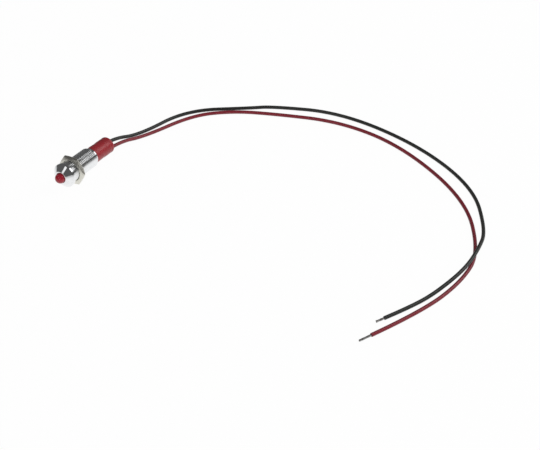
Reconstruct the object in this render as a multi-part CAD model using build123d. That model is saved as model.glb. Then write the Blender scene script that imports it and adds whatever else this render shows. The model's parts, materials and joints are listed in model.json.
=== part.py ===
from build123d import *
from math import cos, pi, radians, sin, tan
import os

# A pre-wired panel indicator lying on a surface, in millimetres. +Y runs along the
# lamp from its lens to its leads, +Z is up, and z = 0 is the surface. The origin lies
# on that surface, under the middle of the lamp's length, leads left out. Places along
# the lamp are first given from the seat that presses on the panel's front.
os.makedirs("parts", exist_ok=True)

# Fits: a glued or shrunk-on piece stands this far from the wall it sits on.
glue_gap = 0.02

# Hex nut, which the lamp rests on
nut_wall = 1.0
nut_thickness = 1.6
nut_front = 2.05
nut_face_share = 0.8875
nut_chamfer_angle = 28.0
nut_play = 0.04

# Light-emitting diode
led_diameter = 3.0
led_body_length = 2.7
led_flange_ledge = 0.4
led_flange_thickness = 1.0
led_flat_depth = 0.18
led_bore_play = 0.05
led_seat = 0.3
led_lead_width = 0.45
led_lead_pitch = 2.54
led_post_cover = 0.205
led_post_jog = 0.7
leadframe_top = -1.9
leadframe_depth = 1.4
cup_diameter = 0.9
cup_depth = 0.4
cup_floor_radius = 0.21
cup_mouth_radius = 0.38
chip_size = 0.28
chip_height = 0.2
anode_flag_width = 0.68
anode_lead_length = 3.7
bond_wire_diameter = 0.06
bond_wire_rise = 0.35
bond_wire_bend = 0.25

# Turned bezel: cone, rim, threaded barrel, neck and spigot
thread_diameter = 6.0
rim_ledge = 0.6
rim_thickness = 0.8
rim_edge = 0.12
cone_length = 1.5
lip_wall = 0.4
barrel_length = 11.0
barrel_chamfer = 0.3
flange_play = 0.05
neck_step = 0.05
neck_length = 0.6
spigot_wall = 0.25
spigot_length = 3.0

# Collar behind the diode, and the liner tube that insulates the barrel
collar_play = 0.105
collar_length = 1.5
liner_wall = 0.2

# Series resistor, the wires at its ends, and the sleeving over it
resistor_diameter = 1.6
resistor_waist = 1.4
resistor_edge = 0.2
resistor_length = 3.4
resistor_gap = 1.0
resistor_wire = 0.45
resistor_wire_front = 2.4
resistor_wire_rear = 3.0
resistor_wire_gap = 0.185
resistor_sleeve_wall = 0.12
resistor_sleeve_reach = 0.5
resistor_sleeve_length = 7.6

# Solder joints, and the film of solder between two lapped conductors
joint_length = 1.9
joint_radius = 0.56
joint_end = 0.34
lap_film = 0.04
red_lap = 1.8
black_lap = 1.4

# Leads: insulated diameter, bare strands and the two free ends
lead_diameter = 1.05
strand_diameter = 0.5
tip_diameter = 0.62
tip_rounding = 0.18
red_tip_length = 4.3
black_tip_length = 3.0
lead_setback = 0.9
lead_plane_angle = 50.0
crossing_gap = 0.37
floor_gap = 0.005

# Rear sleeve and the resin that closes it
sleeve_wall = 0.28
sleeve_length = 7.9
sleeve_rounding = 0.45
sleeve_lip = 0.25
resin_length = 3.0
resin_recess = 0.3

# Worked-out sizes across the lamp
nut_across_flats = thread_diameter + 2 * nut_wall
axis_height = nut_across_flats / 2
led_flange_diameter = led_diameter + 2 * led_flange_ledge
lens_bore = led_diameter + 2 * led_bore_play
lip_diameter = lens_bore + 2 * lip_wall
rim_diameter = thread_diameter + 2 * rim_ledge
barrel_bore = led_flange_diameter + 2 * flange_play
spigot_diameter = barrel_bore + 2 * spigot_wall
sleeve_bore = spigot_diameter + 2 * glue_gap
sleeve_diameter = sleeve_bore + 2 * sleeve_wall
neck_diameter = sleeve_diameter + 2 * neck_step
liner_diameter = barrel_bore - 2 * glue_gap
liner_bore = liner_diameter - 2 * liner_wall
post_edge = (led_lead_pitch + led_lead_width) / 2
inner_post_edge = led_diameter / 2 - led_post_cover
collar_bore = 2 * (post_edge + collar_play)

# Worked-out places along the lamp
barrel_end = barrel_length
neck_end = barrel_end + neck_length
spigot_end = neck_end + spigot_length
rim_front = -rim_thickness
lip_front = rim_front - cone_length
dome_centre = led_seat - led_body_length
led_back = led_seat + led_flange_thickness
collar_end = led_back + collar_length
anode_lead_end = led_back + anode_lead_length
resistor_front = anode_lead_end + resistor_gap
resistor_end = resistor_front + resistor_length
resistor_wire_start = resistor_front - resistor_wire_front
resistor_wire_end = resistor_end + resistor_wire_rear
tail_start = resistor_wire_end - red_lap
cathode_lead_end = tail_start + black_lap
lead_start = spigot_end + lead_setback
sleeve_end = neck_end + sleeve_length
resin_rear = sleeve_end - resin_recess
lens_tip = dome_centre - led_diameter / 2
seat_place = -(lens_tip + sleeve_end) / 2
lamp_place = Pos(0, seat_place, axis_height)

# Places across the lamp, in the plane that holds both leads
led_lead_place = led_lead_pitch / 2
resistor_place = led_lead_place - led_lead_width / 2 - resistor_wire_gap - resistor_wire / 2
red_place = resistor_place + resistor_wire / 2 + lap_film + strand_diameter / 2
black_place = -(led_lead_place - led_lead_width / 2 - lap_film - strand_diameter / 2)
lay = radians(lead_plane_angle)

# Leads lying on the surface: the route of each one's middle, from inside the rear
# sleeve to the end of its insulation. The black lead passes over the red one.
floor = lead_diameter / 2 + floor_gap
hump = floor + lead_diameter + crossing_gap
red_exit = (red_place * cos(lay), axis_height - red_place * sin(lay))
black_exit = (black_place * cos(lay), axis_height - black_place * sin(lay))
red_route = [
    (red_exit[0], lead_start + seat_place, red_exit[1]),
    (red_exit[0], 15.4, red_exit[1]),
    (2.7, 25.4, 0.6),
    (7.5, 43.5, floor),
    (16.4, 52.2, floor),
    (27.1, 57.3, floor),
    (46.9, 64.5, floor),
    (69.8, 62.0, floor),
    (98.6, 46.5, floor),
    (113.4, 25.2, floor),
    (115.4, 11.2, floor),
    (113.0, -5.4, floor),
    (107.0, -21.0, floor),
]
black_route = [
    (black_exit[0], lead_start + seat_place, black_exit[1]),
    (black_exit[0], 14.2, black_exit[1]),
    (1.2, 24.9, 0.9),
    (4.1, 45.0, floor),
    (19.8, 56.7, floor),
    (24.7, 61.0, floor),
    (44.3, 69.2, floor),
    (72.8, 65.4, floor),
    (97.4, 53.4, floor),
    (110.2, 35.6, floor),
    (113.3, 24.8, hump),
    (114.4, 14.6, hump),
    (112.0, 2.8, floor),
    (109.6, -5.4, floor),
    (106.3, -13.2, floor),
]


def turned(points):
    """A solid turned about the lamp's axis from (radius, place along the axis)."""
    face = make_face(Polyline(*points, close=True))
    return lamp_place * revolve(face, axis=Axis.Y)


def in_lead_plane(shape):
    """A shape drawn with X across the lead plane, turned to lie on the lamp's axis."""
    return lamp_place * Rot(0, lead_plane_angle, 0) * shape


def rod(place, diameter, start, end):
    """A round bar along the lamp, at its place across the lead plane."""
    bar = Cylinder(diameter / 2, end - start)
    along = Rot(-90, 0, 0) * bar
    return in_lead_plane(Pos(place, (start + end) / 2, 0) * along)


def bar(place_low, place_high, start, end, width=led_lead_width):
    """A square bar in the lead plane."""
    block = Box(place_high - place_low, end - start, width)
    return in_lead_plane(Pos((place_low + place_high) / 2, (start + end) / 2, 0) * block)


def make_bezel():
    lens_radius = lens_bore / 2
    thread_radius = thread_diameter / 2
    rim_radius = rim_diameter / 2
    return turned([
        (lens_radius, lip_front),
        (lip_diameter / 2, lip_front),
        (rim_radius - rim_edge, rim_front),
        (rim_radius, rim_front + rim_edge),
        (rim_radius, -rim_edge),
        (rim_radius - rim_edge, 0),
        (thread_radius, 0),
        (thread_radius, barrel_end - barrel_chamfer),
        (thread_radius - barrel_chamfer, barrel_end),
        (neck_diameter / 2, barrel_end),
        (neck_diameter / 2, neck_end),
        (spigot_diameter / 2, neck_end),
        (spigot_diameter / 2, spigot_end),
        (barrel_bore / 2, spigot_end),
        (barrel_bore / 2, led_seat),
        (lens_radius, led_seat),
    ])


def make_nut():
    """A thin hexagon nut with both faces chamfered, standing on one of its flats."""
    corner = nut_across_flats / 2 / cos(radians(30))
    hexagon = extrude(RegularPolygon(corner, 6), nut_thickness / 2, both=True)
    middle = nut_front + nut_thickness / 2
    nut_rear = nut_front + nut_thickness
    face = nut_across_flats / 2 * nut_face_share
    chamfer = (corner - face) * tan(radians(nut_chamfer_angle))
    blank = lamp_place * Pos(0, middle, 0) * Rot(-90, 0, 0) * hexagon
    bore = thread_diameter / 2 + nut_play
    outline = turned([
        (bore, nut_front),
        (face, nut_front),
        (corner, nut_front + chamfer),
        (corner, nut_rear - chamfer),
        (face, nut_rear),
        (bore, nut_rear),
    ])
    return blank & outline


def side_bar(side, inner, outer, start, end):
    """A square bar on one side of the axis: +1 is the anode's side, -1 the cathode's."""
    low, high = sorted((side * inner, side * outer))
    return bar(low, high, start, end)


def lead_post(side, front, rear):
    """A square post, nearer the axis inside the lens than where it stands out."""
    jog = led_seat + led_post_jog
    inside = side_bar(side, inner_post_edge - led_lead_width, inner_post_edge, front, jog)
    step = side_bar(side, inner_post_edge - led_lead_width, post_edge, jog - led_lead_width, jog)
    outside = side_bar(side, post_edge - led_lead_width, post_edge, jog - led_lead_width, rear)
    return inside + step + outside


def make_cathode_lead():
    """The diode's long lead, with the cup that holds the chip."""
    cup_floor = leadframe_top + cup_depth
    post = lead_post(-1, cup_floor, cathode_lead_end)
    anvil = bar(-inner_post_edge, cup_diameter / 2, cup_floor, leadframe_top + leadframe_depth)
    cup = rod(0, cup_diameter, leadframe_top, cup_floor)
    hollow = in_lead_plane(Pos(0, leadframe_top + cup_depth / 2, 0) * Rot(90, 0, 0)
                           * Cone(cup_floor_radius, cup_mouth_radius, cup_depth))
    return post + anvil + (cup - hollow)


def make_anode_lead():
    """The diode's short lead, with the flag that takes the bond wire."""
    flag_end = leadframe_top + 2 * cup_depth
    flag = bar(inner_post_edge - anode_flag_width, inner_post_edge, leadframe_top, flag_end)
    return lead_post(1, leadframe_top, anode_lead_end) + flag


def make_chip():
    chip = Box(chip_size, chip_height, chip_size)
    return in_lead_plane(Pos(0, leadframe_top + cup_depth - chip_height / 2, 0) * chip)


def make_bond_wire():
    """A fine wire from the chip's top to the end of the anode's flag."""
    chip_top = leadframe_top + cup_depth - chip_height
    landing = inner_post_edge - anode_flag_width + bond_wire_diameter
    top = leadframe_top - bond_wire_rise
    path = FilletPolyline(
        (0, chip_top, 0), (0, top, 0), (landing, top, 0), (landing, leadframe_top, 0),
        radius=bond_wire_bend,
    )
    section = Plane(origin=path @ 0, z_dir=path % 0) * Circle(bond_wire_diameter / 2)
    return in_lead_plane(sweep(section, path=path))


def make_lens(held):
    """The diode's cast body, solid round the metal that it holds."""
    radius = led_diameter / 2
    flange = led_flange_diameter / 2
    wall = Polyline(
        (0, led_back), (flange, led_back), (flange, led_seat), (radius, led_seat),
        (radius, dome_centre),
    )
    tip = (0, dome_centre - radius)
    shoulder = (radius * cos(pi / 4), dome_centre - radius * sin(pi / 4))
    dome = ThreePointArc((radius, dome_centre), shoulder, tip)
    face = make_face(wall + dome + Line(tip, (0, led_back)))
    body = lamp_place * revolve(face, axis=Axis.Y)
    flat_place = flange - led_flat_depth
    body = body - bar(-2 * flange, -flat_place, led_seat - 1, led_back + 1, 2 * flange)
    for piece in held:
        body = body - piece
    return body


def make_collar():
    outer = liner_diameter / 2
    inner = collar_bore / 2
    return turned([(inner, led_back), (outer, led_back), (outer, collar_end), (inner, collar_end)])


def make_liner():
    outer = liner_diameter / 2
    inner = liner_bore / 2
    return turned([(inner, collar_end), (outer, collar_end), (outer, spigot_end), (inner, spigot_end)])


def make_resistor():
    """The coated body, thicker over the cap at each end."""
    cap = resistor_diameter / 2
    waist = resistor_waist / 2
    cap_length = resistor_length / 4
    slope = cap - waist
    points = [
        (0, resistor_front),
        (cap - resistor_edge, resistor_front),
        (cap, resistor_front + resistor_edge),
        (cap, resistor_front + cap_length),
        (waist, resistor_front + cap_length + slope),
        (waist, resistor_end - cap_length - slope),
        (cap, resistor_end - cap_length),
        (cap, resistor_end - resistor_edge),
        (cap - resistor_edge, resistor_end),
        (0, resistor_end),
    ]
    face = make_face(Polyline(*points, close=True))
    return in_lead_plane(Pos(resistor_place, 0, 0) * revolve(face, axis=Axis.Y))


def make_resistor_wires():
    front = rod(resistor_place, resistor_wire, resistor_wire_start, resistor_front)
    rear = rod(resistor_place, resistor_wire, resistor_end, resistor_wire_end)
    return [front, rear]


def make_resistor_sleeve():
    inner = resistor_diameter + 2 * glue_gap
    outer = inner + 2 * resistor_sleeve_wall
    start = resistor_front - resistor_sleeve_reach
    end = start + resistor_sleeve_length
    tube = rod(resistor_place, outer, start, end)
    hollow = rod(resistor_place, inner, start - 1, end + 1)
    return tube - hollow


def make_joint(place, middle, held):
    """A drop of solder drawn out along the two conductors that it joins."""
    start = middle - joint_length / 2
    blob = rod(place, 2 * joint_radius, start, start + joint_length)
    blob = fillet(blob.edges().filter_by(GeomType.CIRCLE), joint_end)
    for piece in held:
        blob = blob - piece
    return blob


def make_rear_sleeve():
    """Shrunk tubing, drawn in and rounded at its rear end."""
    outer = sleeve_diameter / 2
    inner = sleeve_bore / 2
    start_curve = (outer, sleeve_end - sleeve_rounding)
    end_curve = (outer - sleeve_rounding, sleeve_end)
    middle = outer - sleeve_rounding * (1 - cos(pi / 4))
    top = (middle, sleeve_end - sleeve_rounding * (1 - sin(pi / 4)))
    wall = Polyline(
        (outer - sleeve_rounding, sleeve_end),
        (inner - sleeve_lip, sleeve_end),
        (inner - sleeve_lip, resin_rear),
        (inner, resin_rear),
        (inner, neck_end),
        (outer, neck_end),
        start_curve,
    )
    face = make_face(wall + ThreePointArc(start_curve, top, end_curve))
    return lamp_place * revolve(face, axis=Axis.Y)


def make_resin():
    """The plug of resin that grips both leads at the rear of the sleeve."""
    radius = sleeve_bore / 2 - glue_gap
    start = resin_rear - resin_length
    plug = turned([(0, start), (radius, start), (radius, resin_rear), (0, resin_rear)])
    for place in (red_place, black_place):
        plug = plug - rod(place, lead_diameter + 2 * glue_gap, start - 1, resin_rear + 1)
    return plug


def corner_radii(route):
    """The largest arc that each corner's two runs allow, 0.45 of the shorter run."""
    radii = []
    for before, corner, after in zip(route, route[1:], route[2:]):
        into = Vector(corner) - Vector(before)
        out = Vector(after) - Vector(corner)
        turn = radians(into.get_angle(out))
        radii.append(0.45 * min(into.length, out.length) / tan(turn / 2))
    return radii


def make_lead(name, route):
    """An insulated lead: straight runs joined by arcs, as a round tube."""
    radii = corner_radii(route)
    path = FilletPolyline(*route, radius=radii)
    section = Plane(origin=path @ 0, z_dir=path % 0) * Circle(lead_diameter / 2)
    tube = sweep(section, path=path)
    expected = pi * lead_diameter ** 2 / 4 * path.length
    print(name, "length", round(path.length, 1), "volume share", round(tube.volume / expected, 4))
    print(name, "radii", [round(radius, 1) for radius in radii])
    return tube


def make_tip(route, length):
    """The tinned strands that stand out of a lead's free end."""
    end = Vector(route[-1])
    direction = (end - Vector(route[-2])).normalized()
    rounded = Cylinder(tip_diameter / 2, length)
    bare = Plane(origin=end, z_dir=direction) * Pos(0, 0, length / 2) * rounded
    far_edge = bare.edges().filter_by(GeomType.CIRCLE).sort_by_distance(end + direction * length)[0]
    return fillet(far_edge, tip_rounding)


def tail(place):
    """The bare strands inside the lamp, in front of a lead's insulation."""
    return rod(place, strand_diameter, tail_start, lead_start)


cathode_lead = make_cathode_lead()
anode_lead = make_anode_lead()
led_chip = make_chip()
bond_wire = make_bond_wire()
resistor_wires = make_resistor_wires()
red_tail = tail(red_place)
black_tail = tail(black_place)
lap_middle = (tail_start + cathode_lead_end) / 2
anode_lap = (resistor_wire_start + anode_lead_end) / 2

pieces = {
    "bezel_body": make_bezel(),
    "hex_nut": make_nut(),
    "led_lens": make_lens([cathode_lead, anode_lead, led_chip, bond_wire]),
    "led_cathode_lead": cathode_lead,
    "led_anode_lead": anode_lead,
    "led_chip": led_chip,
    "led_bond_wire": bond_wire,
    "led_collar": make_collar(),
    "insulating_liner": make_liner(),
    "resistor_body": make_resistor(),
    "resistor_wires": Compound(children=resistor_wires),
    "resistor_sleeve": make_resistor_sleeve(),
    "anode_solder": make_joint(
        (resistor_place + led_lead_place) / 2, anode_lap, [anode_lead, resistor_wires[0]]),
    "red_solder": make_joint(
        (resistor_place + red_place) / 2, lap_middle, [resistor_wires[1], red_tail]),
    "black_solder": make_joint(
        (black_place - led_lead_place) / 2, lap_middle, [cathode_lead, black_tail]),
    "red_lead_tail": red_tail,
    "black_lead_tail": black_tail,
    "rear_sleeve": make_rear_sleeve(),
    "sleeve_resin": make_resin(),
    "red_lead": make_lead("red_lead", red_route),
    "black_lead": make_lead("black_lead", black_route),
    "red_lead_tip": make_tip(red_route, red_tip_length),
    "black_lead_tip": make_tip(black_route, black_tip_length),
}

for name, piece in pieces.items():
    export_step(piece, f"parts/{name}.step")
print(len(pieces), "nodes written")
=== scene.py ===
import json
import math
import random

import bpy
from mathutils import Matrix, Vector


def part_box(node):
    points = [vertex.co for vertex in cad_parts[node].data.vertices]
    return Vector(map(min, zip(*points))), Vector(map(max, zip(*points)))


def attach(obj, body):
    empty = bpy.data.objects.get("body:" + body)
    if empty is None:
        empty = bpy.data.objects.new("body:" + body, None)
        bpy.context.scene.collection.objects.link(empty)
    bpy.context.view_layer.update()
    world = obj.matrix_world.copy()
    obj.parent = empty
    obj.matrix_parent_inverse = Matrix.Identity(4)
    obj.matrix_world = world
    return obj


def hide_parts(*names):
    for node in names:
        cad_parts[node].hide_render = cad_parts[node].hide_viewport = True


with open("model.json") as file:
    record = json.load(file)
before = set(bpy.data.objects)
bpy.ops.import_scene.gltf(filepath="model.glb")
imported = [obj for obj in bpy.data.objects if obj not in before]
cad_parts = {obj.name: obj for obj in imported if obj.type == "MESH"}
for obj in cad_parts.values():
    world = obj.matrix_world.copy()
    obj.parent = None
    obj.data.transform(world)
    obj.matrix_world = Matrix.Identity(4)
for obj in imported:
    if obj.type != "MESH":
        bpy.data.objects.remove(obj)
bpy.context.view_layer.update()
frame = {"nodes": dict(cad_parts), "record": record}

mm = 0.001
axisHeight = (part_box("hex_nut")[1][2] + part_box("hex_nut")[0][2]) / 2
nutFront = 2.05  # mm from the seat to the nut's front face
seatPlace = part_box("hex_nut")[0][1] - nutFront * mm  # rear face of the rim
roundSteps = 128  # sides of a turned piece
poleRadius = 0.02  # mm, the small ring at a turned piece's pole


# small helpers

def deselectAll():
    if bpy.context.object and bpy.context.object.mode != "OBJECT":
        bpy.ops.object.mode_set(mode="OBJECT")
    bpy.ops.object.select_all(action="DESELECT")


def pickOnly(piece):
    deselectAll()
    piece.select_set(True)
    bpy.context.view_layer.objects.active = piece


def applyModifiers(piece):
    pickOnly(piece)
    for modifier in list(piece.modifiers):
        bpy.ops.object.modifier_apply(modifier=modifier.name)


def applyPlace(piece):
    pickOnly(piece)
    bpy.ops.object.transform_apply(location=True, rotation=True, scale=True)


def smoothBelow(piece, degrees):
    pickOnly(piece)
    bpy.ops.object.shade_smooth_by_angle(angle=math.radians(degrees))


def cleanShell(piece, gap=1e-7):
    # welds doubled points, then turns all faces outwards
    pickOnly(piece)
    bpy.ops.object.mode_set(mode="EDIT")
    bpy.ops.mesh.select_all(action="SELECT")
    bpy.ops.mesh.remove_doubles(threshold=gap)
    bpy.ops.mesh.normals_make_consistent(inside=False)
    bpy.ops.object.mode_set(mode="OBJECT")


def roundedOutline(corners, steps=4):
    # corners are (radius, place, rounding); a rounding of 0 keeps the corner sharp
    outline = []
    for before, (radius, place, rounding), after in zip(
            corners[-1:] + corners[:-1], corners, corners[1:] + corners[:1]):
        corner = Vector((radius, place))
        if rounding == 0:
            outline.append((radius, place))
            continue
        toBefore = (Vector(before[:2]) - corner).normalized() * rounding
        toAfter = (Vector(after[:2]) - corner).normalized() * rounding
        for step in range(steps + 1):
            share = step / steps
            point = corner + toBefore * (1 - share) ** 2 + toAfter * share ** 2
            outline.append((point.x, point.y))
    return outline


def turnPiece(name, outline, closed=True, steps=roundSteps):
    # a circle drawn out ring by ring along +Z, then laid along the lamp's axis
    deselectAll()
    radius, place = outline[0]
    bpy.ops.mesh.primitive_circle_add(vertices=steps, radius=radius * mm, location=(0, 0, place * mm))
    piece = bpy.context.object
    piece.name = name
    bpy.ops.object.mode_set(mode="EDIT")
    bpy.ops.mesh.select_all(action="SELECT")
    rings = outline[1:] + outline[:1] if closed else outline[1:]
    for nextRadius, nextPlace in rings:
        bpy.ops.mesh.extrude_region_move(
            TRANSFORM_OT_translate={"value": (0, 0, (nextPlace - place) * mm)})
        ratio = nextRadius / radius
        bpy.ops.transform.resize(value=(ratio, ratio, 1), center_override=(0, 0, nextPlace * mm))
        radius, place = nextRadius, nextPlace
    bpy.ops.object.mode_set(mode="OBJECT")
    layAlongLamp(piece)
    cleanShell(piece)
    return piece


def layAlongLamp(piece):
    # local Z becomes the lamp's axis, with the seat at local Z = 0
    piece.matrix_world = (Matrix.Translation((0, seatPlace, axisHeight))
                          @ Matrix.Rotation(math.radians(-90), 4, "X") @ piece.matrix_world)
    applyPlace(piece)


def dressPiece(piece, slotName, *nodes):
    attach(piece, "root")
    if nodes:
        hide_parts(*nodes)


# camera above the lamp's front, on its +X side

cameraPlace = {
    "lookAt": (0.0590, 0.0070, 0.0),
    "distance": 0.4456,
    "azimuth": 32.84,
    "elevation": 34.0,
    "focal": 108.7,
}


def makeCamera():
    turn, rise = math.radians(cameraPlace["azimuth"]), math.radians(cameraPlace["elevation"])
    back = Vector((math.sin(turn) * math.cos(rise), -math.cos(turn) * math.cos(rise), math.sin(rise)))
    bpy.ops.object.camera_add(location=Vector(cameraPlace["lookAt"]) + back * cameraPlace["distance"],
                              rotation=(math.radians(90) - rise, 0, turn))
    camera = bpy.context.object
    camera.data.lens = cameraPlace["focal"]
    camera.data.sensor_width = 36
    camera.data.clip_start = 0.01
    camera.data.clip_end = 50
    bpy.context.scene.camera = camera


makeCamera()
print("camera placed")

# both leads lie on the floor, and the black one goes over the red one

leadValues = {
    "diameter": 1.05,
    "floor": 0.53,
    "crossing": 1.95,
    "redFreeLength": 206,
    "blackFreeLength": 208,
}
floorLine = leadValues["floor"]
humpLine = leadValues["crossing"]
redRoute = [
    (0.739, 7.7, 3.119),
    (0.739, 15.4, 3.119),
    (2.7, 25.4, 0.6),
    (7.5, 43.5, floorLine),
    (16.4, 52.2, floorLine),
    (27.1, 57.3, floorLine),
    (46.9, 64.5, floorLine),
    (69.8, 62.0, floorLine),
    (98.6, 46.5, floorLine),
    (113.4, 25.2, floorLine),
    (115.4, 11.2, floorLine),
    (113.0, -5.4, floorLine),
    (107.0, -21.0, floorLine),
]
blackRoute = [
    (-0.485, 7.7, 4.578),
    (-0.485, 14.2, 4.578),
    (1.2, 24.9, 0.9),
    (4.1, 45.0, floorLine),
    (19.8, 56.7, floorLine),
    (24.7, 61.0, floorLine),
    (44.3, 69.2, floorLine),
    (72.8, 65.4, floorLine),
    (97.4, 53.4, floorLine),
    (110.2, 35.6, floorLine),
    (113.3, 24.8, humpLine),
    (114.4, 14.6, humpLine),
    (112.0, 2.8, floorLine),
    (109.6, -5.4, floorLine),
    (106.3, -13.2, floorLine),
]


def makeLead(name, route):
    curve = bpy.data.curves.new(name, "CURVE")
    curve.dimensions = "3D"
    curve.resolution_u = 14
    curve.bevel_depth = leadValues["diameter"] / 2 * mm
    curve.bevel_resolution = 8
    curve.use_fill_caps = True
    spline = curve.splines.new("NURBS")
    spline.points.add(len(route) - 1)
    for point, (x, y, z) in zip(spline.points, route):
        point.co = (x * mm, y * mm, z * mm, 1)
    spline.order_u = 3
    spline.use_endpoint_u = True
    lead = bpy.data.objects.new(name, curve)
    bpy.context.scene.collection.objects.link(lead)
    return lead


redLead = makeLead("redLead", redRoute)
blackLead = makeLead("blackLead", blackRoute)
print("leads laid")

tipValues = {
    "strands": 6,
    "strandDiameter": 0.2,
    "bundleRadius": 0.21,
    "twistPerMm": 38,
    "redLength": 4.3,
    "blackLength": 3.0,
    "redFlatten": 0.72,
    "blackFlatten": 0.95,
    "shortest": 0.07,
    "flare": 0.10,
    "flareStart": 0.75,
    "squeezeStart": 0.15,
    "squeezeRate": 1.6,
    "insideInsulation": 0.25,
    "filmGrid": 0.028,
}


def makeTip(name, route, length, flatten, seed):
    # one strand is twisted round the middle of the bundle, then copied round it
    draw = random.Random(seed)
    strandRadius = tipValues["strandDiameter"] / 2 * mm
    strands = []
    places = [(0.0, 0.0)]
    for number in range(tipValues["strands"]):
        places.append((tipValues["bundleRadius"] * mm, number * 2 * math.pi / tipValues["strands"]))
    for offset, angle in places:
        cut = length * mm * (1 - draw.uniform(0.0, tipValues["shortest"]))
        deselectAll()
        bpy.ops.mesh.primitive_cylinder_add(
            vertices=14, radius=strandRadius * draw.uniform(0.94, 1.06), depth=cut,
            location=(offset * math.cos(angle), offset * math.sin(angle), cut / 2))
        strand = bpy.context.object
        bpy.ops.object.mode_set(mode="EDIT")
        bpy.ops.mesh.select_all(action="DESELECT")
        bpy.ops.object.mode_set(mode="OBJECT")
        for edge in strand.data.edges:
            low, high = (strand.data.vertices[index].co.z for index in edge.vertices)
            edge.select = abs(high - low) > cut / 2
        bpy.ops.object.mode_set(mode="EDIT")
        bpy.ops.mesh.subdivide(number_cuts=24)
        bpy.ops.object.mode_set(mode="OBJECT")
        applyPlace(strand)
        strands.append(strand)
    deselectAll()
    for strand in strands:
        strand.select_set(True)
    bpy.context.view_layer.objects.active = strands[0]
    bpy.ops.object.join()
    tip = bpy.context.object
    tip.name = name
    for vertex in tip.data.vertices:
        along = vertex.co.z / (length * mm)
        twist = math.radians(tipValues["twistPerMm"]) * vertex.co.z / mm
        x, y = vertex.co.x, vertex.co.y
        flareStart = tipValues["flareStart"]
        spread = 1 + tipValues["flare"] * max(0.0, along - flareStart) / (1 - flareStart)
        vertex.co.x = (x * math.cos(twist) - y * math.sin(twist)) * spread
        vertex.co.y = (x * math.sin(twist) + y * math.cos(twist)) * spread
        past = max(0.0, along - tipValues["squeezeStart"])
        squeeze = 1 - (1 - flatten) * min(1.0, past * tipValues["squeezeRate"])
        vertex.co.x *= squeeze
        vertex.co.y *= 1 + (1 - squeeze) * 0.5
    end = Vector(route[-1]) * mm
    direction = (end - Vector(route[-2]) * mm).normalized()
    start = end - direction * tipValues["insideInsulation"] * mm
    side = direction.cross(Vector((0, 0, 1))).normalized()
    up = side.cross(direction)
    basis = Matrix((up, side, direction)).transposed().to_4x4()
    tip.matrix_world = Matrix.Translation(start) @ basis
    applyPlace(tip)
    remesh = tip.modifiers.new("solderFilm", "REMESH")  # the film of solder joins the strands
    remesh.mode = "VOXEL"
    remesh.voxel_size = tipValues["filmGrid"] * mm
    soften = tip.modifiers.new("soften", "SMOOTH")
    soften.factor = 0.5
    soften.iterations = 3
    applyModifiers(tip)
    cleanShell(tip)
    smoothBelow(tip, 60)
    return tip


redTip = makeTip("redTip", redRoute, tipValues["redLength"], tipValues["redFlatten"], 3)
blackTip = makeTip("blackTip", blackRoute, tipValues["blackLength"], tipValues["blackFlatten"], 5)
print("tinned ends twisted")

# cone, rim, fine thread, neck and spigot are turned from one bar

bezelValues = {
    "lipDiameter": 3.9,
    "lensBore": 3.1,
    "coneLength": 1.5,
    "rimDiameter": 7.2,
    "rimThickness": 0.8,
    "threadDiameter": 6.0,
    "threadPitch": 0.5,
    "threadDepth": 0.16,
    "threadStart": 0.25,
    "crestFlat": 0.34,
    "flank": 0.21,
    "barrelLength": 11.0,
    "barrelChamfer": 0.32,
    "neckDiameter": 5.1,
    "neckLength": 0.6,
    "spigotDiameter": 4.4,
    "spigotLength": 3.0,
    "barrelBore": 3.9,
    "ledSeat": 0.3,
    "runOutLength": 0.3,
    "runOutShare": 0.6,
    "ringsPerTurn": 12,
}


def threadRadius(place, turn):
    # a thread with a flat crest and root, running out at both ends
    values = bezelValues
    crest = values["threadDiameter"] / 2
    phase = (place / values["threadPitch"] - turn) % 1.0
    height = min(1.0, max(0.0, 1 - (abs(phase - 0.5) - values["crestFlat"] / 2) / values["flank"]))
    depth = values["threadDepth"]
    runOut = min(1.0, max(0.0, (place - values["threadStart"]) / values["runOutLength"]))
    chamferStart = values["barrelLength"] - values["barrelChamfer"]
    limit = crest - max(0.0, place - chamferStart)
    root = crest - depth * (1 - height) * runOut - depth * values["runOutShare"] * (1 - runOut)
    return min(limit, root)


def makeBezel():
    values = bezelValues
    rimFront = -values["rimThickness"]
    lipFront = rimFront - values["coneLength"]
    neckEnd = values["barrelLength"] + values["neckLength"]
    spigotEnd = neckEnd + values["spigotLength"]
    crest = values["threadDiameter"] / 2
    front = roundedOutline([
        (values["barrelBore"] / 2, values["ledSeat"], 0),
        (values["lensBore"] / 2, values["ledSeat"], 0),
        (values["lensBore"] / 2, lipFront, 0.1),
        (values["lipDiameter"] / 2, lipFront, 0.12),
        (values["rimDiameter"] / 2, rimFront, 0.14),
        (values["rimDiameter"] / 2, 0, 0.1),
        (crest, 0, 0),
    ])
    ringGap = values["threadPitch"] / values["ringsPerTurn"]
    ringCount = int(values["barrelLength"] / ringGap)
    thread = [(crest, ringGap * ring) for ring in range(1, ringCount)]
    rear = roundedOutline([
        (crest, values["barrelLength"], 0),
        (values["neckDiameter"] / 2, values["barrelLength"], 0.05),
        (values["neckDiameter"] / 2, neckEnd, 0.06),
        (values["spigotDiameter"] / 2, neckEnd, 0),
        (values["spigotDiameter"] / 2, spigotEnd, 0.05),
        (values["barrelBore"] / 2, spigotEnd, 0.05),
    ])
    bezel = turnPiece("bezel", front + thread + rear)
    tolerance = ringGap * 0.25
    for vertex in bezel.data.vertices:
        place = (vertex.co.y - seatPlace) / mm
        x, z = vertex.co.x, vertex.co.z - axisHeight
        radius = math.hypot(x, z) / mm
        onThread = abs(radius - crest) < 1e-3 and tolerance < place < values["barrelLength"] + tolerance
        if onThread:
            scale = threadRadius(place, math.atan2(z, x) / (2 * math.pi)) / radius
            vertex.co.x = x * scale
            vertex.co.z = axisHeight + z * scale
    smoothBelow(bezel, 70)
    return bezel


bezel = makeBezel()
print("bezel turned and threaded")

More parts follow.
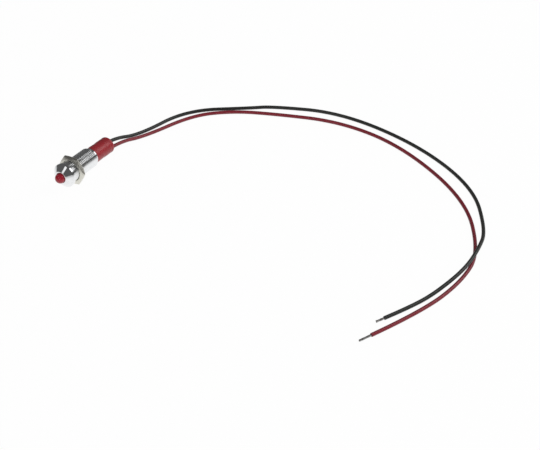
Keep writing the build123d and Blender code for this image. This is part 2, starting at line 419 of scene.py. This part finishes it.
# hexagon nut, thin and chamfered

nutValues = {
    "acrossFlats": 8.0,
    "front": nutFront,
    "thickness": 1.6,
    "bore": 6.08,
    "boreChamfer": 0.28,
    "faceDiameter": 7.1,
    "chamferAngle": 28,
    "reach": 0.2,
    "edge": 0.05,
}


def makeNut():
    values = nutValues
    half = values["thickness"] / 2
    corner = values["acrossFlats"] / 2 / math.cos(math.radians(30))
    deselectAll()
    bpy.ops.mesh.primitive_cylinder_add(
        vertices=6, radius=corner * mm, depth=(values["thickness"] + 1) * mm,
        location=(0, 0, (values["front"] + half) * mm), rotation=(0, 0, math.radians(30)))
    nut = bpy.context.object
    nut.name = "nut"
    layAlongLamp(nut)
    reach = corner + values["reach"]
    drop = (reach - values["faceDiameter"] / 2) * math.tan(math.radians(values["chamferAngle"]))
    rear = values["front"] + values["thickness"]
    bore = values["bore"] / 2
    mouth = values["boreChamfer"]
    blank = turnPiece("nutBlank", [
        (bore, values["front"] + mouth), (bore + mouth, values["front"]),
        (values["faceDiameter"] / 2, values["front"]), (reach, values["front"] + drop),
        (reach, rear - drop), (values["faceDiameter"] / 2, rear),
        (bore + mouth, rear), (bore, rear - mouth),
    ])
    cut = nut.modifiers.new("chamfer", "BOOLEAN")
    cut.operation = "INTERSECT"
    cut.solver = "EXACT"
    cut.object = blank
    applyModifiers(nut)
    bpy.data.objects.remove(blank, do_unlink=True)
    edges = nut.modifiers.new("edges", "BEVEL")
    edges.width = values["edge"] * mm
    edges.segments = 3
    edges.limit_method = "ANGLE"
    edges.angle_limit = math.radians(22)
    applyModifiers(nut)
    cleanShell(nut)
    smoothBelow(nut, 30)
    return nut


nut = makeNut()
print("nut cut")

# diode lens, with its flange inside the barrel

lensValues = {
    "diameter": 3.0,
    "bodyLength": 2.7,
    "flangeDiameter": 3.8,
    "flangeThickness": 1.0,
    "flangeEdge": 0.06,
    "seatEdge": 0.05,
    "wallEnd": 1.2,
    "poleReach": 0.2,
    "domeRings": 22,
}


def makeLens():
    values = lensValues
    radius = values["diameter"] / 2
    seat = bezelValues["ledSeat"]
    centre = seat - values["bodyLength"]
    rear = seat + values["flangeThickness"]
    flange = values["flangeDiameter"] / 2
    edge, seatEdge = values["flangeEdge"], values["seatEdge"]
    outline = [(poleRadius, rear), (flange - edge, rear), (flange, rear - edge), (flange, seat + edge),
               (flange - edge, seat), (radius + seatEdge, seat), (radius, seat - seatEdge),
               (radius, centre + values["wallEnd"])]
    for ring in range(values["domeRings"]):
        angle = ring / values["domeRings"] * math.pi / 2
        outline.append((radius * math.cos(angle), centre - radius * math.sin(angle)))
    lens = turnPiece("lens", outline, closed=False, steps=96)
    pickOnly(lens)
    bpy.ops.object.mode_set(mode="EDIT")  # closes the pole at each end
    bpy.ops.mesh.select_all(action="DESELECT")
    bpy.ops.mesh.select_mode(type="VERT")
    bpy.ops.object.mode_set(mode="OBJECT")
    for end in (min, max):
        limit = end(vertex.co.y for vertex in lens.data.vertices)
        for vertex in lens.data.vertices:
            vertex.select = abs(vertex.co.y - limit) < 1e-6 and math.hypot(
                vertex.co.x, vertex.co.z - axisHeight) < radius * values["poleReach"] * mm
        bpy.ops.object.mode_set(mode="EDIT")
        bpy.ops.mesh.edge_face_add()
        bpy.ops.mesh.poke()
        bpy.ops.mesh.select_all(action="DESELECT")
        bpy.ops.object.mode_set(mode="OBJECT")
    cleanShell(lens)
    smoothBelow(lens, 40)
    return lens


lens = makeLens()
print("lens cast")

# rear sleeve and its resin plug

sleeveValues = {
    "diameter": 5.0,
    "bore": 4.44,
    "front": 11.6,
    "rear": 19.5,
    "mouthDiameter": 3.95,
    "rounding": 0.5,
    "rings": 40,
    "frontEdge": 0.08,
    "waveDepth": 0.035,
    # place, depth and width of each draw-in: over the spigot's end and over the resin's edge
    "drawIns": ((15.0, 0.06, 0.5), (18.2, 0.11, 0.2)),
    "resinLength": 2.8,
    "resinBulge": 0.12,
}


def makeSleeve():
    values = sleeveValues
    outer, inner, mouth = values["diameter"] / 2, values["bore"] / 2, values["mouthDiameter"] / 2
    ringCount = values["rings"]
    shell = [(outer, values["front"] + values["frontEdge"])]
    span = values["rear"] - values["rounding"] - shell[0][1]
    for ring in range(1, ringCount + 1):
        shell.append((outer, shell[0][1] + span * ring / ringCount))
    for step in range(1, 9):
        angle = step / 8 * math.pi / 2
        shell.append((outer - values["rounding"] * 0.8 * (1 - math.cos(angle)),
                      values["rear"] - values["rounding"] * (1 - math.sin(angle))))
    outline = shell + [
        (mouth + 0.04, values["rear"] - 0.02), (mouth, values["rear"] - 0.1),
        (mouth, values["rear"] - 0.28), (inner, values["rear"] - 0.34),
        (inner, values["front"]), (outer - values["frontEdge"], values["front"]),
    ]
    sleeve = turnPiece("sleeve", outline)
    for vertex in sleeve.data.vertices:
        x, z = vertex.co.x / mm, (vertex.co.z - axisHeight) / mm
        along = (vertex.co.y - seatPlace) / mm
        radius = math.hypot(x, z)
        if radius < inner + 0.1 or along < values["front"] + 0.05:
            continue
        angle = math.atan2(z, x)
        wave = (math.sin(along * 1.7 + 2 * angle) * 0.35 + math.sin(along * 3.9 - angle * 3 + 1.0) * 0.2
                + math.sin(angle * 2 + 0.6) * 0.45)
        drawIn = sum(depth * math.exp(-((along - place) / width) ** 2)
                     for place, depth, width in values["drawIns"])
        scale = 1 + (wave * values["waveDepth"] - values["waveDepth"] - drawIn) / radius
        vertex.co.x = x * scale * mm
        vertex.co.z = z * scale * mm + axisHeight
    smoothBelow(sleeve, 50)
    return sleeve


def makeResin():
    values = sleeveValues
    rear, radius = values["rear"] - 0.36, values["bore"] / 2 - 0.03
    start = rear - values["resinLength"]
    outline = [(poleRadius, start), (radius, start), (radius, rear)]
    for step in range(1, 10):
        share = step / 10
        outline.append((radius * (1 - share), rear + values["resinBulge"] * math.sin(share * math.pi / 2)))
    resin = turnPiece("resin", outline + [(poleRadius, rear + values["resinBulge"])], steps=64)
    smoothBelow(resin, 40)
    return resin


sleeve = makeSleeve()
resin = makeResin()
print("sleeve shrunk on")


# effects that several materials share, each a node group

def newGroup(name, inputs, outputs):
    group = bpy.data.node_groups.new(name, "ShaderNodeTree")
    for label, kind, value in inputs:
        socket = group.interface.new_socket(name=label, in_out="INPUT", socket_type=kind)
        socket.default_value = value
    for label, kind in outputs:
        group.interface.new_socket(name=label, in_out="OUTPUT", socket_type=kind)
    return group, group.nodes.new("NodeGroupInput"), group.nodes.new("NodeGroupOutput")


def addNode(tree, kind, **settings):
    node = tree.nodes.new(kind)
    for key, value in settings.items():
        setattr(node, key, value)
    return node


def makeMottle():
    # two tones blended by soft noise, with a value to vary gloss
    group, given, result = newGroup(
        "mottle",
        [("Tone", "NodeSocketColor", (0.5, 0.5, 0.5, 1)),
         ("Other tone", "NodeSocketColor", (0.4, 0.4, 0.4, 1)),
         ("Scale", "NodeSocketFloat", 1.0), ("Detail", "NodeSocketFloat", 4.0)],
        [("Colour", "NodeSocketColor"), ("Value", "NodeSocketFloat")])
    place = addNode(group, "ShaderNodeTexCoord")
    toMm = addNode(group, "ShaderNodeMapping")
    toMm.inputs["Scale"].default_value = (1000, 1000, 1000)
    noise = addNode(group, "ShaderNodeTexNoise")
    noise.inputs["Roughness"].default_value = 0.6
    spread = addNode(group, "ShaderNodeMapRange")
    spread.inputs["From Min"].default_value = 0.35
    spread.inputs["From Max"].default_value = 0.65
    blend = addNode(group, "ShaderNodeMix", data_type="RGBA")
    link = group.links.new
    link(place.outputs["Object"], toMm.inputs["Vector"])
    link(toMm.outputs["Vector"], noise.inputs["Vector"])
    link(given.outputs["Scale"], noise.inputs["Scale"])
    link(given.outputs["Detail"], noise.inputs["Detail"])
    link(noise.outputs["Fac"], spread.inputs["Value"])
    link(spread.outputs["Result"], blend.inputs["Factor"])
    link(given.outputs["Tone"], blend.inputs["A"])
    link(given.outputs["Other tone"], blend.inputs["B"])
    link(blend.outputs["Result"], result.inputs["Colour"])
    link(spread.outputs["Result"], result.inputs["Value"])
    return group


def makeGrain():
    # a height from fine noise, stretched along or across the lamp by its scale
    group, given, result = newGroup(
        "grain",
        [("Along", "NodeSocketFloat", 1.0), ("Across", "NodeSocketFloat", 1.0)],
        [("Height", "NodeSocketFloat")])
    place = addNode(group, "ShaderNodeTexCoord")
    parts = addNode(group, "ShaderNodeSeparateXYZ")
    joined = addNode(group, "ShaderNodeCombineXYZ")
    noise = addNode(group, "ShaderNodeTexNoise")
    noise.inputs["Scale"].default_value = 1000
    noise.inputs["Detail"].default_value = 3
    link = group.links.new
    link(place.outputs["Object"], parts.inputs["Vector"])
    for axis, source in (("X", "Across"), ("Y", "Along"), ("Z", "Across")):
        scaled = addNode(group, "ShaderNodeMath", operation="MULTIPLY")
        link(parts.outputs[axis], scaled.inputs[0])
        link(given.outputs[source], scaled.inputs[1])
        link(scaled.outputs["Value"], joined.inputs[axis])
    link(joined.outputs["Vector"], noise.inputs["Vector"])
    link(noise.outputs["Fac"], result.inputs["Height"])
    return group


def makeTurningMarks():
    # fine rings that a lathe leaves: round the axis on a face, along it on a wall
    group, given, result = newGroup(
        "turningMarks",
        [("Pitch", "NodeSocketFloat", 0.08), ("Unevenness", "NodeSocketFloat", 0.3)],
        [("Height", "NodeSocketFloat")])
    place = addNode(group, "ShaderNodeTexCoord")
    centred = addNode(group, "ShaderNodeMapping")
    centred.inputs["Location"].default_value = (0, 0, -axisHeight * 1000)
    centred.inputs["Scale"].default_value = (1000, 1000, 1000)
    parts = addNode(group, "ShaderNodeSeparateXYZ")
    flat = addNode(group, "ShaderNodeCombineXYZ")
    radius = addNode(group, "ShaderNodeVectorMath", operation="LENGTH")
    total = addNode(group, "ShaderNodeMath", operation="ADD")
    noise = addNode(group, "ShaderNodeTexNoise")
    noise.inputs["Scale"].default_value = 2.0
    wobble = addNode(group, "ShaderNodeMath", operation="MULTIPLY_ADD")
    ratio = addNode(group, "ShaderNodeMath", operation="DIVIDE")
    lined = addNode(group, "ShaderNodeTexNoise", noise_dimensions="1D")
    lined.inputs["Scale"].default_value = 1.0
    lined.inputs["Detail"].default_value = 2
    link = group.links.new
    link(place.outputs["Object"], centred.inputs["Vector"])
    link(centred.outputs["Vector"], parts.inputs["Vector"])
    link(centred.outputs["Vector"], noise.inputs["Vector"])
    link(parts.outputs["X"], flat.inputs["X"])
    link(parts.outputs["Z"], flat.inputs["Z"])
    link(flat.outputs["Vector"], radius.inputs[0])
    link(radius.outputs["Value"], total.inputs[0])
    link(parts.outputs["Y"], total.inputs[1])
    link(noise.outputs["Fac"], wobble.inputs[0])
    link(given.outputs["Unevenness"], wobble.inputs[1])
    link(total.outputs["Value"], wobble.inputs[2])
    link(wobble.outputs["Value"], ratio.inputs[0])
    link(given.outputs["Pitch"], ratio.inputs[1])
    link(ratio.outputs["Value"], lined.inputs["W"])
    link(lined.outputs["Fac"], result.inputs["Height"])
    return group


mottle = makeMottle()
grain = makeGrain()
turningMarks = makeTurningMarks()


# every material starts from its Principled shader

def startMaterial(name, **plain):
    material = bpy.data.materials.new(name)
    material.use_nodes = True
    tree = material.node_tree
    shader = tree.nodes["Principled BSDF"]
    for label, value in plain.items():
        shader.inputs[label.replace("_", " ")].default_value = value
    return material, tree, shader


def placeGroup(tree, group, **values):
    node = addNode(tree, "ShaderNodeGroup", node_tree=group)
    for label, value in values.items():
        node.inputs[label.replace("_", " ")].default_value = value
    return node


def varyRoughness(tree, shader, source, low, high):
    spread = addNode(tree, "ShaderNodeMapRange")
    spread.inputs["To Min"].default_value = low
    spread.inputs["To Max"].default_value = high
    tree.links.new(source, spread.inputs["Value"])
    tree.links.new(spread.outputs["Result"], shader.inputs["Roughness"])


def addBump(tree, shader, sources):
    # each source is (height output, strength, distance in metres)
    before = None
    for height, strength, distance in sources:
        bump = addNode(tree, "ShaderNodeBump")
        bump.inputs["Strength"].default_value = strength
        bump.inputs["Distance"].default_value = distance
        tree.links.new(height, bump.inputs["Height"])
        if before:
            tree.links.new(before.outputs["Normal"], bump.inputs["Normal"])
        before = bump
    tree.links.new(before.outputs["Normal"], shader.inputs["Normal"])


def makeMetal(name, tone, otherTone, gloss, marks, markDepth, patch=0.8):
    material, tree, shader = startMaterial(name, Metallic=1.0)
    tones = placeGroup(tree, mottle, Tone=(*tone, 1), Other_tone=(*otherTone, 1), Scale=patch)
    tree.links.new(tones.outputs["Colour"], shader.inputs["Base Color"])
    varyRoughness(tree, shader, tones.outputs["Value"], *gloss)
    rings = placeGroup(tree, turningMarks, Pitch=marks)
    speck = placeGroup(tree, grain, Along=9.0, Across=9.0)
    addBump(tree, shader, [(rings.outputs["Height"], 0.6, markDepth * mm),
                           (speck.outputs["Height"], 0.4, markDepth * 0.4 * mm)])
    return material


def makePlastic(name, tone, otherTone, gloss, along, across, depth, patch=0.5, **plain):
    material, tree, shader = startMaterial(name, **plain)
    tones = placeGroup(tree, mottle, Tone=(*tone, 1), Other_tone=(*otherTone, 1), Scale=patch)
    tree.links.new(tones.outputs["Colour"], shader.inputs["Base Color"])
    varyRoughness(tree, shader, tones.outputs["Value"], *gloss)
    speck = placeGroup(tree, grain, Along=along, Across=across)
    addBump(tree, shader, [(speck.outputs["Height"], 0.5, depth * mm)])
    return material


materials = {
    "chrome": makeMetal("chromePlate", (0.88, 0.89, 0.90), (0.82, 0.83, 0.84), (0.05, 0.10), 0.05, 0.002),
    "nickel": makeMetal("satinNickel", (0.74, 0.73, 0.66), (0.70, 0.69, 0.62), (0.37, 0.42), 0.06, 0.0015),
    "tinned_steel": makeMetal("tinnedSteel", (0.66, 0.66, 0.65), (0.58, 0.58, 0.57),
                              (0.25, 0.40), 0.2, 0.004),
    "tinned_copper": makeMetal("tinnedCopper", (0.55, 0.54, 0.52), (0.40, 0.39, 0.38),
                               (0.28, 0.45), 0.3, 0.006),
    "solder": makeMetal("solder", (0.60, 0.60, 0.61), (0.50, 0.50, 0.52), (0.20, 0.35), 0.5, 0.006),
    "gold": makeMetal("goldWire", (0.90, 0.70, 0.30), (0.80, 0.60, 0.25), (0.15, 0.25), 0.1, 0.001),
    "chip": makeMetal("chipDie", (0.35, 0.30, 0.12), (0.25, 0.22, 0.10), (0.10, 0.20), 0.2, 0.001),
    "red_lens": makePlastic("redLens", (0.36, 0.014, 0.030), (0.30, 0.011, 0.024),
                            (0.12, 0.22), 2.0, 2.0, 0.004,
                            Transmission_Weight=0.25, IOR=1.52),
    "red_sleeving": makePlastic("redSleeving", (0.27, 0.017, 0.023), (0.23, 0.014, 0.019), (0.30, 0.42),
                                1.2, 4.0, 0.02),
    "red_pvc": makePlastic("redPvc", (0.18, 0.016, 0.026), (0.15, 0.013, 0.021),
                           (0.25, 0.38), 1.5, 1.5, 0.01),
    "black_pvc": makePlastic("blackPvc", (0.026, 0.027, 0.025), (0.019, 0.020, 0.018), (0.25, 0.40),
                             1.5, 1.5, 0.01),
    "resin": makePlastic("resin", (0.05, 0.04, 0.04), (0.03, 0.025, 0.025), (0.10, 0.20), 1.0, 1.0, 0.02),
    "black_plastic": makePlastic("blackPlastic", (0.03, 0.03, 0.03), (0.02, 0.02, 0.02),
                                 (0.4, 0.5), 6.0, 6.0, 0.01),
    "white_plastic": makePlastic("whitePlastic", (0.80, 0.80, 0.77), (0.72, 0.72, 0.69),
                                 (0.35, 0.5), 3.0, 3.0, 0.01),
    "black_sleeving": makePlastic("blackSleeving", (0.04, 0.04, 0.04), (0.025, 0.025, 0.025), (0.35, 0.5),
                                  1.0, 4.0, 0.01),
    "resistor_coat": makePlastic("resistorCoat", (0.55, 0.45, 0.30), (0.48, 0.38, 0.24),
                                 (0.2, 0.35), 2.0, 2.0, 0.02),
}


def dressAll():
    made = {"bezel_body": bezel, "hex_nut": nut, "led_lens": lens, "rear_sleeve": sleeve,
            "sleeve_resin": resin, "red_lead": redLead, "black_lead": blackLead,
            "red_lead_tip": redTip, "black_lead_tip": blackTip}
    for row in frame["record"]["subparts"]:
        slotName = row["material_slot"]
        piece = made.get(row["node"])
        if piece:
            piece.data.materials.clear()
            piece.data.materials.append(materials[slotName])
            dressPiece(piece, slotName, row["node"])
        else:
            for slot in frame["nodes"][row["node"]].material_slots:
                slot.material = materials[slotName]


dressAll()
print("materials placed")

# pale floor, soft lamps and a dim room

stageValues = {
    "floorTone": 0.86,
    "shownShare": 0.97,
    "nearFloor": 1.0,
    "farFloor": 0.6,
    "nearReach": 0.008,
    "farReach": 0.05,
    "roomLight": 0.26,
    "roomInMetal": 0.1,
}


def makeFloor():
    deselectAll()
    bpy.ops.mesh.primitive_plane_add(size=6, location=(0, 0, 0))
    floor = bpy.context.object
    floor.name = "floor"
    material, tree, shader = startMaterial("paleFloor", Roughness=0.7)
    tone = stageValues["floorTone"]
    shader.inputs["Base Color"].default_value = (tone, tone, tone, 1)
    path = addNode(tree, "ShaderNodeLightPath")
    place = addNode(tree, "ShaderNodeTexCoord")
    reach = addNode(tree, "ShaderNodeVectorMath", operation="LENGTH")
    falling = addNode(tree, "ShaderNodeMapRange", interpolation_type="SMOOTHSTEP")
    falling.inputs["From Min"].default_value = stageValues["nearReach"]
    falling.inputs["From Max"].default_value = stageValues["farReach"]
    falling.inputs["To Min"].default_value = stageValues["nearFloor"]
    falling.inputs["To Max"].default_value = stageValues["farFloor"]
    brightness = addNode(tree, "ShaderNodeMath", operation="MAXIMUM")
    shown = addNode(tree, "ShaderNodeEmission")
    seen = addNode(tree, "ShaderNodeMath", operation="MAXIMUM")
    seenThrough = addNode(tree, "ShaderNodeMath", operation="MAXIMUM")
    share = addNode(tree, "ShaderNodeMath", operation="MULTIPLY")
    share.inputs[1].default_value = stageValues["shownShare"]
    blend = addNode(tree, "ShaderNodeMixShader")
    link = tree.links.new
    link(place.outputs["Object"], reach.inputs[0])
    link(reach.outputs["Value"], falling.inputs["Value"])
    link(falling.outputs["Result"], brightness.inputs[0])
    link(path.outputs["Is Camera Ray"], brightness.inputs[1])
    link(brightness.outputs["Value"], shown.inputs["Strength"])
    link(path.outputs["Is Camera Ray"], seen.inputs[0])
    link(path.outputs["Is Glossy Ray"], seen.inputs[1])
    link(seen.outputs["Value"], seenThrough.inputs[0])
    link(path.outputs["Is Transmission Ray"], seenThrough.inputs[1])
    link(seenThrough.outputs["Value"], share.inputs[0])
    link(share.outputs["Value"], blend.inputs["Fac"])
    link(shader.outputs["BSDF"], blend.inputs[1])
    link(shown.outputs["Emission"], blend.inputs[2])
    link(blend.outputs["Shader"], tree.nodes["Material Output"].inputs["Surface"])
    floor.data.materials.append(material)


softLamps = [
    # name, direction from the object, distance, width, height, power
    ("rightLamp", (0.44, 0.645, 0.63), 1.0, 0.75, 0.75, 6.5),
    ("frontLamp", (0.55, -0.75, 0.22), 1.0, 0.6, 0.4, 7.0),
    ("leftLamp", (-0.85, -0.2, 0.6), 1.2, 0.5, 0.5, 2.0),
]
reflectors = [
    # name, direction from the object, distance, width, height, brightness
    ("rightReflector", (0.510, 0.645, 0.569), 1.0, 0.55, 0.8, 1.45),
    ("frontReflector", (-0.12, -0.745, 0.658), 1.0, 0.27, 0.7, 1.0),
]
stageMiddle = Vector((0.0, 0.0, 0.004))


def makeLamps():
    for name, direction, distance, width, height, power in softLamps:
        away = Vector(direction).normalized()
        deselectAll()
        bpy.ops.object.light_add(type="AREA", location=stageMiddle + away * distance)
        lamp = bpy.context.object
        lamp.name = name
        lamp.data.shape = "RECTANGLE"
        lamp.data.size = width
        lamp.data.size_y = height
        lamp.data.energy = power
        lamp.rotation_euler = away.to_track_quat("Z", "Y").to_euler()
        lamp.visible_glossy = False


def makeReflectors():
    # bright cards that only shiny surfaces see
    for name, direction, distance, width, height, brightness in reflectors:
        away = Vector(direction).normalized()
        deselectAll()
        bpy.ops.mesh.primitive_plane_add(size=1)
        card = bpy.context.object
        card.name = name
        material = bpy.data.materials.new(name)
        material.use_nodes = True
        tree = material.node_tree
        tree.nodes.remove(tree.nodes["Principled BSDF"])
        glow = addNode(tree, "ShaderNodeEmission")
        glow.inputs["Strength"].default_value = brightness
        tree.links.new(glow.outputs["Emission"], tree.nodes["Material Output"].inputs["Surface"])
        card.data.materials.append(material)
        across = Vector((0, 1, 0)).cross(away).normalized()
        facing = Matrix((across, away.cross(across), away)).transposed().to_4x4()
        card.matrix_world = (Matrix.Translation(stageMiddle + away * distance) @ facing
                             @ Matrix.Diagonal((width, height, 1, 1)))
        applyPlace(card)
        card.visible_camera = False
        card.visible_diffuse = False
        card.visible_shadow = False


def makeSurroundings():
    world = bpy.data.worlds.new("paleRoom")
    world.use_nodes = True
    tree = world.node_tree
    room = tree.nodes["Background"]
    room.inputs["Color"].default_value = (1, 1, 1, 1)
    path = addNode(tree, "ShaderNodeLightPath")
    inMetal = addNode(tree, "ShaderNodeMapRange")
    inMetal.inputs["To Min"].default_value = stageValues["roomLight"]
    inMetal.inputs["To Max"].default_value = stageValues["roomInMetal"]
    shown = addNode(tree, "ShaderNodeMath", operation="MAXIMUM")
    link = tree.links.new
    link(path.outputs["Is Glossy Ray"], inMetal.inputs["Value"])
    link(inMetal.outputs["Result"], shown.inputs[0])
    link(path.outputs["Is Camera Ray"], shown.inputs[1])
    link(shown.outputs["Value"], room.inputs["Strength"])
    bpy.context.scene.world = world


makeFloor()
makeLamps()
makeReflectors()
makeSurroundings()
bpy.context.scene.view_settings.view_transform = "Standard"
print("stage lit")
